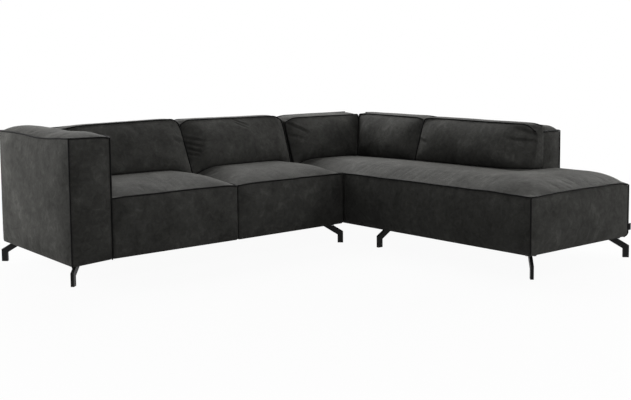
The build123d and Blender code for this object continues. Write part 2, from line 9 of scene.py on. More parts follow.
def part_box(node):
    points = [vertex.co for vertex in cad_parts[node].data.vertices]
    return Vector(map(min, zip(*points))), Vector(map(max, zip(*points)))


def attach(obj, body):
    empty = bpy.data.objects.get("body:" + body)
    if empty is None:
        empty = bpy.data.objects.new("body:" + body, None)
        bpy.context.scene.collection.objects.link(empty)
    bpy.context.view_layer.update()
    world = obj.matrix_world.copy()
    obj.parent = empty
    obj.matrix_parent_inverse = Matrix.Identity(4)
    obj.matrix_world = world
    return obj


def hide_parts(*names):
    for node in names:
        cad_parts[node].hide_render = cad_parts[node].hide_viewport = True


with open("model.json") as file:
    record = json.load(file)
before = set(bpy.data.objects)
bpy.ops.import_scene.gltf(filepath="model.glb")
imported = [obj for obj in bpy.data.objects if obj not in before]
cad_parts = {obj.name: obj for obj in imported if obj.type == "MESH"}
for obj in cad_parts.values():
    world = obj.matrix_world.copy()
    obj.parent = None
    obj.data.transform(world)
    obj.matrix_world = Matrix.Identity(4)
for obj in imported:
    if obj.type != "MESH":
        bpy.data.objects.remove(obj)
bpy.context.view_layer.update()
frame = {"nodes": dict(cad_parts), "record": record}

# The looks of the corner sofa, in metres, in the frame of the part: padded upholstery with piped
# seams over the frame, black steel legs and a plain studio.

# Sizes in the frame
LEG_HEIGHT = 0.120
SEAT_SEAM = 0.445
ARM_SEAM = 0.775
BACK_SEAM = 0.722
CUSHION_SEAM = 0.782
CUSHION_TOP_DEPTH = 0.104
CUSHION_BASE_DEPTH = 0.212

# Upholstery
MESH_STEP = 0.013
HEM_LIFT = 0.0012
HEM_TUCK = 0.003
PIPING_RADIUS = 0.0042
PIPING_PROUD = 0.45
SEAT_CROWN = 0.054
SEAM_WAVE = 0.0022
WAVE_SIZE = 0.16
FINE_WAVE_SHARE = 0.6
FINE_WAVE_SIZE = 0.07
CREASE = 0.002
HEM_REACH = 0.10
SEAM_REACH = 0.12
END_REACH = 0.14
SNUG_RISE = 0.01
RIPPLE = 0.0022
RIPPLE_SIZE = 0.14
FINE_RIPPLE = 0.0009
FINE_RIPPLE_SIZE = 0.05
CUSHION_MARGIN = 0.02
SIMULATED_FRAMES = 18
COVER_SLACK = 0.004
SEAT_LIMIT = 0.020

# Loose cushions
CUSHION_STEP = 0.011
CUSHION_LAYERS = 12
CUSHION_LIFT = 0.004
CUSHION_BULGE = 0.044
CUSHION_CROWN = 0.008
CUSHION_CROWN_REACH = 0.05
CUSHION_END_REACH = 0.15
FRONT_LOW_REACH = 0.08
FRONT_HIGH_REACH = 0.19
PUFF_LOW_REACH = 0.07
PUFF_HIGH_REACH = 0.09
CUSHION_WAVE = 0.0015
CUSHION_WAVE_SIZE = 0.2
CUSHION_RIPPLE = 0.0030
CUSHION_RIPPLE_SIZE = 0.13
CUSHION_FINE_RIPPLE = 0.0010
CUSHION_FINE_RIPPLE_SIZE = 0.045
CUSHION_PRESSURE = 3.5
CUSHION_SLACK = 0.002
CUSHION_LIMIT = 0.012
CORNER_PULL = 0.008
CORNER_PULL_HEIGHT = 0.10
CORNER_PULL_SPREAD = 0.05
FOLD_RIDGE = 0.6
REAR_CORNER_FORWARD = 0.045
SIDE_CORNER_FORWARD = -0.035
CUSHION_CLEARANCE = 0.0004
CORNER_CLEARANCE = 0.003

# Underside cloth and side tab
CLOTH_INSET = 0.016
CLOTH_STEP = 0.05
CLOTH_LIFT = 0.0006
TAB_LOW = 0.158
TAB_HIGH = 0.198
TAB_OUT = 0.036
TAB_SUNK = 0.004
TAB_SIDES = (0.004, 0.008)

arm_low, arm_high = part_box("arm_cover")
left_low, left_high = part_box("left_seat_cover")
right_low, right_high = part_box("right_seat_cover")
corner_low, corner_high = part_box("corner_seat_cover")
back_low, back_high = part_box("two_seat_back_cover")
short_low, short_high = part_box("short_back_cover")
long_low, long_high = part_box("long_back_cover")

# The lines that the cushions stand against, and where those at the corner meet
rear_line = back_low[1] - CUSHION_CLEARANCE
side_line = long_low[0] - CUSHION_CLEARANCE
corner_line_x = side_line + REAR_CORNER_FORWARD - SIDE_CORNER_FORWARD - CORNER_CLEARANCE
corner_line_y = rear_line - REAR_CORNER_FORWARD + SIDE_CORNER_FORWARD - CORNER_CLEARANCE


# Materials


def new_material(name):
    """An empty node material and its output."""
    material = bpy.data.materials.new(name)
    material.use_nodes = True
    nodes = material.node_tree.nodes
    nodes.clear()
    output = nodes.new("ShaderNodeOutputMaterial")
    return material, nodes, material.node_tree.links, output


def noise_node(nodes, links, coordinate, scale, detail, roughness, distortion=0.0):
    """A noise texture on the object's own coordinates."""
    texture = nodes.new("ShaderNodeTexNoise")
    texture.inputs["Scale"].default_value = scale
    texture.inputs["Detail"].default_value = detail
    texture.inputs["Roughness"].default_value = roughness
    texture.inputs["Distortion"].default_value = distortion
    links.new(coordinate, texture.inputs["Vector"])
    return texture.outputs["Fac"]


def weighted(nodes, links, first, second, share):
    """A mix of two values: the share is that of the second."""
    mix = nodes.new("ShaderNodeMix")
    mix.data_type = "FLOAT"
    mix.inputs["Factor"].default_value = share
    links.new(first, mix.inputs["A"])
    links.new(second, mix.inputs["B"])
    return mix.outputs["Result"]


def ramp(nodes, links, value, stops):
    """A colour ramp over a value."""
    node = nodes.new("ShaderNodeValToRGB")
    elements = node.color_ramp.elements
    while len(elements) < len(stops):
        elements.new(0.5)
    for element, (place, colour) in zip(elements, stops):
        element.position = place
        element.color = (*colour, 1.0)
    links.new(value, node.inputs["Fac"])
    return node.outputs["Color"]


def principled(nodes, links, output):
    """A principled shader joined to the output."""
    shader = nodes.new("ShaderNodeBsdfPrincipled")
    links.new(shader.outputs["BSDF"], output.inputs["Surface"])
    return shader


def bump(nodes, links, shader, height, distance, strength):
    """A bump from a height onto a shader."""
    node = nodes.new("ShaderNodeBump")
    node.inputs["Distance"].default_value = distance
    node.inputs["Strength"].default_value = strength
    links.new(height, node.inputs["Height"])
    links.new(node.outputs["Normal"], shader.inputs["Normal"])


def grey(level):
    """A slightly warm grey."""
    return (level, level * 0.995, level * 0.93)


def suede_material():
    """Dark grey suede: cloudy patches, brushed mottling and a fine nap."""
    material, nodes, links, output = new_material("dark_grey_suede")
    coordinate = nodes.new("ShaderNodeTexCoord").outputs["Object"]
    clouds = noise_node(nodes, links, coordinate, 5.0, 5.0, 0.6, 0.4)
    mottle = noise_node(nodes, links, coordinate, 26.0, 6.0, 0.65, 0.8)
    grain = noise_node(nodes, links, coordinate, 420.0, 2.0, 0.6)
    patches = weighted(nodes, links, clouds, mottle, 0.45)
    tone = weighted(nodes, links, patches, grain, 0.12)
    stops = [(0.36, grey(0.026)), (0.46, grey(0.039)), (0.55, grey(0.052)), (0.65, grey(0.080))]
    colour = ramp(nodes, links, tone, stops)
    shader = principled(nodes, links, output)
    links.new(colour, shader.inputs["Base Color"])
    shader.inputs["Roughness"].default_value = 0.78
    shader.inputs["Specular IOR Level"].default_value = 0.04
    shader.inputs["Sheen Weight"].default_value = 0.05
    shader.inputs["Sheen Roughness"].default_value = 0.45
    shader.inputs["Sheen Tint"].default_value = (0.75, 0.74, 0.70, 1.0)
    height = weighted(nodes, links, mottle, grain, 0.5)
    bump(nodes, links, shader, height, 0.0026, 0.6)
    return material


def plain_material(name, dark, light, scale, roughness, metallic=0.0, bump_distance=0.0002):
    """A procedural surface with a little variation between two colours."""
    material, nodes, links, output = new_material(name)
    coordinate = nodes.new("ShaderNodeTexCoord").outputs["Object"]
    value = noise_node(nodes, links, coordinate, scale, 4.0, 0.55)
    shader = principled(nodes, links, output)
    links.new(ramp(nodes, links, value, [(0.35, dark), (0.65, light)]), shader.inputs["Base Color"])
    shader.inputs["Roughness"].default_value = roughness
    shader.inputs["Metallic"].default_value = metallic
    shader.inputs["Specular IOR Level"].default_value = 0.5 if metallic else 0.12
    bump(nodes, links, shader, value, bump_distance, 0.3)
    return material


def timber_material():
    """Pale sawn softwood with long rings."""
    material, nodes, links, output = new_material("sawn_timber")
    coordinate = nodes.new("ShaderNodeTexCoord").outputs["Object"]
    wave = nodes.new("ShaderNodeTexWave")
    wave.inputs["Scale"].default_value = 9.0
    wave.inputs["Distortion"].default_value = 5.0
    wave.inputs["Detail"].default_value = 3.0
    links.new(coordinate, wave.inputs["Vector"])
    shader = principled(nodes, links, output)
    stops = [(0.2, (0.48, 0.31, 0.16)), (0.8, (0.62, 0.44, 0.25))]
    links.new(ramp(nodes, links, wave.outputs["Fac"], stops), shader.inputs["Base Color"])
    shader.inputs["Roughness"].default_value = 0.7
    return material


suede = suede_material()
# The piping's near-black colour is painted shade along the seams; the side tab is cut from the same cloth.
piping_shade_and_tab_cloth = plain_material("piping_painted_shade_and_tab_cloth", grey(0.0012), grey(0.0025), 300.0, 0.8)
hem_cloth = plain_material("underside_cloth", (0.008,) * 3, (0.014,) * 3, 700.0, 0.9)
leg_paint = plain_material("black_powder_coat", (0.006,) * 3, (0.010,) * 3, 900.0, 0.42)
zinc = plain_material("zinc_plate", (0.45, 0.46, 0.47), (0.58, 0.58, 0.57), 160.0, 0.38, 1.0)
spring_wire = plain_material("spring_wire", (0.20, 0.20, 0.21), (0.30, 0.30, 0.30), 120.0, 0.4, 1.0)
board = plain_material("particle_board", (0.40, 0.30, 0.19), (0.56, 0.43, 0.28), 240.0, 0.85)
straps = plain_material("elastic_straps", (0.09, 0.08, 0.07), (0.16, 0.14, 0.12), 500.0, 0.9)
plastic = plain_material("glide_plastic", (0.010,) * 3, (0.016,) * 3, 400.0, 0.5)
timber = timber_material()

node_materials = {
    "timber": timber,
    "board": board,
    "spring_steel": spring_wire,
    "zinc_steel": zinc,
    "webbing": straps,
    "black_steel": leg_paint,
    "glide_plastic": plastic,
}


# Shapes of padded pieces


def swell(distance, width, power=2.2):
    """How far padding has risen at a distance from its seam: 0 at the seam, 1 from the width on."""
    share = np.clip(distance / width, 0.0, 1.0)
    return 1.0 - (1.0 - share) ** power


def field(points, size, seed):
    """A smooth random value between about -1 and 1 at each point."""
    shift = Vector((seed * 7.31, seed * 3.17, seed * 5.71))
    return np.array([noise.noise(Vector(point) / size + shift) for point in points])


def lines(*marks, step=MESH_STEP):
    """Grid lines from the first mark to the last, with one on each mark."""
    parts = [np.array([marks[0]])]
    for start, end in zip(marks, marks[1:]):
        count = max(1, round((end - start) / step))
        parts.append(np.linspace(start, end, count + 1)[1:])
    return np.concatenate(parts)


class Skin:
    """The closed skin of a block of grid cells, which may have a notch in its far corner."""

    def __init__(self, counts, notch=None):
        across, along, up = counts
        self.counts = counts
        self.places = {}
        self.faces = []
        for i in range(across):
            for j in range(along):
                if not self.is_solid(i, j, notch):
                    continue
                self.add((i, j, 0), (i, j + 1, 0), (i + 1, j + 1, 0), (i + 1, j, 0))
                self.add((i, j, up), (i + 1, j, up), (i + 1, j + 1, up), (i, j + 1, up))
                for k in range(up):
                    self.add_walls(i, j, k, notch)
        self.grid = np.array(list(self.places))

    def is_solid(self, i, j, notch):
        """Whether a cell of the plan is part of the block."""
        if not (0 <= i < self.counts[0] and 0 <= j < self.counts[1]):
            return False
        return notch is None or i < notch[0] or j < notch[1]

    def add(self, *corners):
        """One face between grid places."""
        self.faces.append([self.places.setdefault(corner, len(self.places)) for corner in corners])

    def add_walls(self, i, j, k, notch):
        """The outer walls of one cell at one level."""
        if not self.is_solid(i - 1, j, notch):
            self.add((i, j, k), (i, j, k + 1), (i, j + 1, k + 1), (i, j + 1, k))
        if not self.is_solid(i + 1, j, notch):
            self.add((i + 1, j, k), (i + 1, j + 1, k), (i + 1, j + 1, k + 1), (i + 1, j, k + 1))
        if not self.is_solid(i, j - 1, notch):
            self.add((i, j, k), (i + 1, j, k), (i + 1, j, k + 1), (i, j, k + 1))
        if not self.is_solid(i, j + 1, notch):
            self.add((i, j + 1, k), (i, j + 1, k + 1), (i + 1, j + 1, k + 1), (i + 1, j + 1, k))

    def path(self, *corners):
        """The vertices along straight grid lines from corner to corner."""
        found = [self.places[corners[0]]]
        for start, end in zip(corners, corners[1:]):
            steps = max(abs(b - a) for a, b in zip(start, end))
            for step in range(1, steps + 1):
                place = tuple(a + (b - a) * step // steps for a, b in zip(start, end))
                found.append(self.places[place])
        return found


def make_object(name, points, faces, material, body):
    """A smooth mesh object that rides on a body."""
    mesh = bpy.data.meshes.new(name)
    mesh.from_pydata([tuple(point) for point in points], [], [tuple(face) for face in faces])
    mesh.polygons.foreach_set("use_smooth", [True] * len(mesh.polygons))
    mesh.materials.append(material)
    obj = bpy.data.objects.new(name, mesh)
    bpy.context.scene.collection.objects.link(obj)
    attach(obj, body)
    return obj


def mesh_points(obj):
    """The vertices of an object's mesh."""
    points = np.empty(len(obj.data.vertices) * 3)
    obj.data.vertices.foreach_get("co", points)
    return points.reshape(-1, 3)


def mesh_normals(obj):
    """The vertex normals of an object's mesh."""
    normals = np.empty(len(obj.data.vertices) * 3)
    obj.data.vertices.foreach_get("normal", normals)
    return normals.reshape(-1, 3)


def set_points(obj, points):
    """Move the vertices of an object's mesh."""
    obj.data.vertices.foreach_set("co", points.ravel())
    obj.data.update()


def inflate(obj, held, pressure, slack, limit):
    """Let a cover swell as cloth under pressure, held at its seams, and keep the settled shape."""
    start = mesh_points(obj)
    group = obj.vertex_groups.new(name="held")
    group.add([int(index) for index in np.flatnonzero(held)], 1.0, "REPLACE")
    cloth = obj.modifiers.new("cloth", "CLOTH")
    settings = cloth.settings
    settings.quality = 5
    settings.mass = 0.35
    settings.tension_stiffness = 18.0
    settings.compression_stiffness = 12.0
    settings.shear_stiffness = 6.0
    settings.bending_stiffness = 0.35
    settings.use_pressure = True
    settings.uniform_pressure_force = pressure
    settings.shrink_min = -slack
    settings.effector_weights.gravity = 0.0
    settings.vertex_group_mass = group.name
    cloth.point_cache.frame_start = 1
    cloth.point_cache.frame_end = SIMULATED_FRAMES
    scene = bpy.context.scene
    for frame_number in range(1, SIMULATED_FRAMES + 1):
        scene.frame_set(frame_number)
    depsgraph = bpy.context.evaluated_depsgraph_get()
    settled = obj.evaluated_get(depsgraph).to_mesh()
    points = np.empty(len(settled.vertices) * 3)
    settled.vertices.foreach_get("co", points)
    points = points.reshape(-1, 3)
    obj.evaluated_get(depsgraph).to_mesh_clear()
    obj.modifiers.remove(cloth)
    obj.vertex_groups.remove(group)
    scene.frame_set(1)
    moved = points - start
    length = np.linalg.norm(moved, axis=1)
    kept = limit * np.tanh(length / limit)
    share = np.where(length > 1e-9, kept / np.maximum(length, 1e-9), 0.0)
    set_points(obj, start + moved * share[:, None])


def tube(points, radius, sides=8):
    """Points and faces of a round cord along a path."""
    points = np.asarray(points)
    ahead = np.gradient(points, axis=0)
    ahead /= np.linalg.norm(ahead, axis=1)[:, None]
    side = np.cross(ahead[0], (0.31, 0.57, 0.76))
    side /= np.linalg.norm(side)
    rings = []
    for point, direction in zip(points, ahead):
        side = side - direction * side.dot(direction)
        side /= np.linalg.norm(side)
        third = np.cross(direction, side)
        angles = np.arange(sides) * 2 * math.pi / sides
        rings.append(point + radius * (np.outer(np.cos(angles), side) + np.outer(np.sin(angles), third)))
    faces = []
    for ring in range(len(rings) - 1):
        for step in range(sides):
            after = (step + 1) % sides
            low = ring * sides
            high = low + sides
            faces.append((low + step, low + after, high + after, high + step))
    faces.append(tuple(reversed(range(sides))))
    faces.append(tuple((len(rings) - 1) * sides + step for step in range(sides)))
    return np.concatenate(rings), faces


def piping(name, obj, paths, body, radius=PIPING_RADIUS):
    """Cords sewn along seams of a piece, standing a little proud of it; their near-black cloth is painted
    shade along the seams.
    """
    points = mesh_points(obj)
    normals = mesh_normals(obj)
    all_points = []
    all_faces = []
    count = 0
    for path in paths:
        track = points[path] + normals[path] * radius * PIPING_PROUD
        track[1:-1] = 0.25 * track[:-2] + 0.5 * track[1:-1] + 0.25 * track[2:]
        cord_points, cord_faces = tube(track, radius)
        all_points.append(cord_points)
        all_faces.extend(tuple(index + count for index in face) for face in cord_faces)
        count += len(cord_points)
    cord = make_object(name, np.concatenate(all_points), all_faces, piping_shade_and_tab_cloth, body)


def add_finer(obj):
    """A modifier that halves the mesh and rounds it."""
    finer = obj.modifiers.new("finer", "SUBSURF")
    finer.levels = 1
    finer.render_levels = 1


def refine(obj):
    """Halve and round the mesh for good."""
    add_finer(obj)
    depsgraph = bpy.context.evaluated_depsgraph_get()
    finer_mesh = bpy.data.meshes.new_from_object(obj.evaluated_get(depsgraph))
    obj.modifiers.clear()
    coarse_mesh = obj.data
    obj.data = finer_mesh
    bpy.data.meshes.remove(coarse_mesh)


class Block:
    """An upholstered block with a crowned top, swelling sides and seams along its edges."""

    def __init__(
        self, low, high, seam, crown, seed, reach, bulge,
        notch=None, droop=(), hem=(0.0, 0.0, 0.0), tuck=HEM_TUCK, abuts=None,
    ):
        self.low = low
        self.high = high
        self.seam = seam
        self.crown = crown
        self.reach = reach
        self.bulge = bulge
        self.seed = seed
        self.droop = droop
        self.hem = hem
        self.tuck = tuck
        self.abuts = abuts
        x_marks = [low[0], high[0]] if notch is None else [low[0], notch[0], high[0]]
        y_marks = [low[1], high[1]] if notch is None else [low[1], notch[1], high[1]]
        self.xs = lines(*x_marks)
        self.ys = lines(*y_marks)
        self.zs = lines(LEG_HEIGHT + HEM_LIFT, seam)
        self.notch = None
        if notch is not None:
            self.notch = (int(np.argmin(abs(self.xs - notch[0]))), int(np.argmin(abs(self.ys - notch[1]))))
        counts = (len(self.xs) - 1, len(self.ys) - 1, len(self.zs) - 1)
        self.skin = Skin(counts, self.notch)

    def rise(self, x, y):
        """The height of the crown over the seam."""
        share = np.ones_like(x)
        for side, edge in self.reach.items():
            distance = {
                "W": x - self.low[0],
                "E": self.high[0] - x,
                "S": y - self.low[1],
                "N": self.high[1] - y,
            }[side]
            share = share * swell(distance, edge)
        return self.crown * share

    def drop(self, x, y):
        """How far the top and its seams sag around the places given: each has a depth and a spread."""
        total = np.zeros_like(x)
        for place_x, place_y, depth, spread in self.droop:
            distance = np.hypot(x - place_x, y - place_y)
            total = total + depth * np.exp(-((distance / spread) ** 2))
        return total

    def hem_drop(self, x, y):
        """How far the hem hangs below its level, from its drops at the W-S, E-S and W-N corners."""
        east = (x - self.low[0]) / (self.high[0] - self.low[0])
        north = (y - self.low[1]) / (self.high[1] - self.low[1])
        west_south, east_south, west_north = self.hem
        front = west_south + (east_south - west_south) * east
        return front + (west_north - west_south) * north * (1.0 - east)

    def top(self, x, y):
        """The height of the padded top."""
        return self.seam + self.rise(x, y) - self.drop(x, y)

    def build(self, name, body, held_under=None):
        """The mesh of the block."""
        grid = self.skin.grid
        x = self.xs[grid[:, 0]]
        y = self.ys[grid[:, 1]]
        z = self.zs[grid[:, 2]]
        across, along, up = self.skin.counts
        base = self.zs[0]
        share_up = (z - base) / (self.seam - base)
        is_top = grid[:, 2] == up
        west = grid[:, 0] == 0
        east = grid[:, 0] == across
        south = grid[:, 1] == 0
        north = grid[:, 1] == along
        plan = np.stack([x, y, np.zeros_like(x)], axis=1)
        wave = SEAM_WAVE * field(plan, WAVE_SIZE, self.seed)
        wave = wave + FINE_WAVE_SHARE * SEAM_WAVE * field(plan, FINE_WAVE_SIZE, self.seed + 9)
        on_seam = west | east | south | north
        lift = (wave - self.drop(x, y)) * share_up
        new_z = z + np.where(on_seam | is_top, lift, 0.0)
        inside_top = is_top & ~on_seam
        new_z = np.where(inside_top, self.top(x, y), new_z)
        new_z = new_z - self.hem_drop(x, y) * (1.0 - share_up)
        level = swell(z - base, HEM_REACH) * swell(self.seam - z, SEAM_REACH)
        upright = {"W": (west, 0, -1), "E": (east, 0, 1), "S": (south, 1, -1), "N": (north, 1, 1)}
        points = np.stack([x, y, new_z], axis=1)
        snug = np.zeros(len(points), bool)
        if self.abuts is not None:
            snug = on_seam & self.abuts(x, y)
        for side, (members, axis, sign) in upright.items():
            amount = self.bulge.get(side, -CREASE)
            if amount < 0:
                snug |= members & (z < SEAT_SEAM + SNUG_RISE)
            if axis == 0:
                ends = swell(y - self.low[1], END_REACH) * swell(self.high[1] - y, END_REACH)
            else:
                ends = swell(x - self.low[0], END_REACH) * swell(self.high[0] - x, END_REACH)
            if amount < 0:
                out = np.full_like(x, amount)
            else:
                out = np.where(snug, -CREASE, -CREASE + (amount + CREASE) * ends * level)
            points[:, axis] += np.where(members, sign * out, 0.0)
        bottom_edge = (grid[:, 2] == 0) & on_seam
        middle_x = (self.low[0] + self.high[0]) / 2
        middle_y = (self.low[1] + self.high[1]) / 2
        points[:, 0] += np.where(bottom_edge & (west | east), np.sign(middle_x - x) * self.tuck, 0.0)
        points[:, 1] += np.where(bottom_edge & (south | north), np.sign(middle_y - y) * self.tuck, 0.0)
        obj = make_object(name, points, self.skin.faces, suede, body)
        normals = mesh_normals(obj)
        ripple = RIPPLE * field(points, RIPPLE_SIZE, self.seed + 3)
        ripple = ripple + FINE_RIPPLE * field(points, FINE_RIPPLE_SIZE, self.seed + 5)
        free = ~on_seam | (~is_top & (grid[:, 2] > 0))
        free &= ~((west | east) & (south | north))
        free &= (grid[:, 2] > 0) & ~snug
        calm = np.zeros(len(points), bool)
        if held_under is not None:
            calm = is_top & held_under(x, y)
        points = points + normals * np.where(free & ~calm, ripple, 0.0)[:, None]
        set_points(obj, points)
        held = np.where(free & ~calm, 0.0, 1.0)
        return obj, held


# Seats, arm and backs


def under_rear_cushions(x, y):
    """The strip of a seat that the cushions along the rear stand on."""
    return y > back_low[1] - CUSHION_BASE_DEPTH - CUSHION_MARGIN


def under_corner_cushions(x, y):
    """The strips of the corner seat that cushions stand on."""
    beside = (x > long_low[0] - CUSHION_BASE_DEPTH - CUSHION_MARGIN) & (y > long_low[1] - CUSHION_MARGIN)
    return under_rear_cushions(x, y) | beside


def upholster(block, name, body, nodes, seams, pressure, held_under=None, limit=0.012):
    """A block as a settled cover with piping, in place of the CAD nodes that it stands for."""
    obj, held = block.build(name, body, held_under)
    inflate(obj, held, pressure, COVER_SLACK, limit)
    add_finer(obj)
    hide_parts(*nodes)
    across, along, up = block.skin.counts
    paths = [block.skin.path(*corners) for corners in seams(across, along, up)]
    piping(name.replace("upholstery", "piping"), obj, paths, body)


def arm_seams(across, along, up):
    """Round the top and down the front corners."""
    return [
        [(0, 0, up), (across, 0, up), (across, along, up), (0, along, up), (0, 0, up)],
        [(0, 0, up), (0, 0, 0)],
        [(across, 0, up), (across, 0, 0)],
    ]


def seat_seams(across, along, up):
    """Along the front edge, with the ends turned back along the sides."""
    back = along * 2 // 3
    return [[(0, back, up), (0, 0, up), (across, 0, up), (across, back, up)]]


def right_seat_seams(across, along, up):
    """Along the front edge, with the end beside the left seat turned back."""
    return [[(0, along * 2 // 3, up), (0, 0, up), (across, 0, up)]]


def back_seams(across, along, up):
    """Along both long edges of the top."""
    return [[(0, along, up), (across, along, up)], [(0, 0, up), (across, 0, up)]]


def beside_two_seats(x, y):
    """The stretch of the corner seat that stands against the two-seat unit."""
    return (x < corner_low[0] + MESH_STEP / 2) & (y > right_low[1] - CUSHION_MARGIN)


left_seat = Block(
    left_low, left_high, SEAT_SEAM, crown=SEAT_CROWN, seed=1,
    reach={"W": 0.12, "E": 0.20, "S": 0.24}, bulge={"S": 0.011},
    droop=[(left_high[0], left_low[1], 0.007, 0.05), (left_low[0], left_low[1], 0.004, 0.05)],
    hem=(0.009, 0.0055, 0.0),
)
right_seat = Block(
    right_low, right_high, SEAT_SEAM, crown=SEAT_CROWN, seed=2,
    reach={"W": 0.20, "E": 0.20, "S": 0.24}, bulge={"S": 0.011},
    droop=[(right_low[0], right_low[1], 0.007, 0.05)],
    hem=(0.0055, 0.0, 0.0),
)
arm = Block(
    arm_low, arm_high, ARM_SEAM, crown=0.028, seed=3,
    reach={"W": 0.08, "E": 0.11, "S": 0.16, "N": 0.12}, bulge={"W": 0.006, "S": 0.006},
    droop=[
        (arm_low[0], arm_low[1] + 0.36, 0.014, 0.20),
        (arm_high[0], arm_low[1] + 0.30, 0.006, 0.12),
        (arm_high[0], arm_low[1], 0.007, 0.03),
    ],
    hem=(0.023, 0.009, 0.004),
)
two_seat_back = Block(
    back_low, back_high, BACK_SEAM, crown=0.018, seed=4,
    reach={"S": 0.07, "N": 0.08}, bulge={"N": 0.007},
)
corner_seat = Block(
    corner_low, corner_high, SEAT_SEAM, crown=SEAT_CROWN, seed=5,
    reach={"W": 0.19, "S": 0.22, "E": 0.075}, bulge={"W": 0.011, "S": 0.010, "E": 0.008},
    notch=(long_low[0], long_low[1]),
    droop=[
        (corner_low[0], corner_low[1], 0.008, 0.16),
        (corner_high[0], corner_low[1], 0.005, 0.13),
        (corner_high[0], corner_low[1], 0.012, 0.045),
        (corner_high[0] - 0.05, long_low[1] - 0.18, 0.010, 0.18),
        (corner_low[0] + 0.35, back_low[1] - 0.25, 0.013, 0.36),
    ],
    tuck=0.016,
    abuts=beside_two_seats,
)
short_back = Block(
    short_low, short_high, BACK_SEAM, crown=0.018, seed=6,
    reach={"S": 0.07, "N": 0.08, "E": 0.10}, bulge={"N": 0.007, "E": 0.007},
)
long_back = Block(
    long_low, long_high, BACK_SEAM, crown=0.034, seed=7,
    reach={"W": 0.07, "E": 0.08, "S": 0.045}, bulge={"E": 0.007, "S": 0.0},
)


def corner_seams(across, along, up):
    """Round the free edges of the long seat, and down its two end corners."""
    notch_j = corner_seat.notch[1]
    inner_j = int(np.argmin(abs(corner_seat.ys - right_low[1])))
    return [
        [(0, inner_j, up), (0, 0, up), (across, 0, up), (across, notch_j, up)],
        [(0, 0, up), (0, 0, 0)],
        [(across, 0, up), (across, 0, 0)],
    ]


def long_back_seams(across, along, up):
    """Along both top edges and round the open end."""
    return [
        [(0, along, up), (0, 0, up), (across, 0, up), (across, along, up)],
        [(across, 0, up), (across, 0, 0)],
    ]


def short_back_seams(across, along, up):
    """Along both top edges and round the rear corner."""
    return [
        [(0, 0, up), (across, 0, up), (across, along, up), (0, along, up)],
        [(across, along, up), (across, along, 0)],
    ]


upholster(
    arm, "arm_upholstery", "two_seat_unit", ["arm_cover", "arm_foam"], arm_seams,
    pressure=3.0,
)
upholster(
    left_seat, "left_seat_upholstery", "two_seat_unit", ["left_seat_cover", "left_seat_foam"], seat_seams,
    pressure=4.0, held_under=under_rear_cushions, limit=SEAT_LIMIT,
)
upholster(
    right_seat, "right_seat_upholstery", "two_seat_unit", ["right_seat_cover", "right_seat_foam"],
    right_seat_seams, pressure=4.0, held_under=under_rear_cushions, limit=SEAT_LIMIT,
)
upholster(
    two_seat_back, "two_seat_back_upholstery", "two_seat_unit",
    ["two_seat_back_cover", "two_seat_back_foam"], back_seams, pressure=2.5,
)
upholster(
    corner_seat, "corner_seat_upholstery", "corner_unit", ["corner_seat_cover", "corner_seat_foam"],
    corner_seams, pressure=4.0, held_under=under_corner_cushions, limit=SEAT_LIMIT,
)
upholster(
    short_back, "short_back_upholstery", "corner_unit", ["short_back_cover", "short_back_foam"],
    short_back_seams, pressure=2.5,
)
upholster(
    long_back, "long_back_upholstery", "corner_unit", ["long_back_cover", "long_back_foam"],
    long_back_seams, pressure=2.5,
)


# Loose back cushions


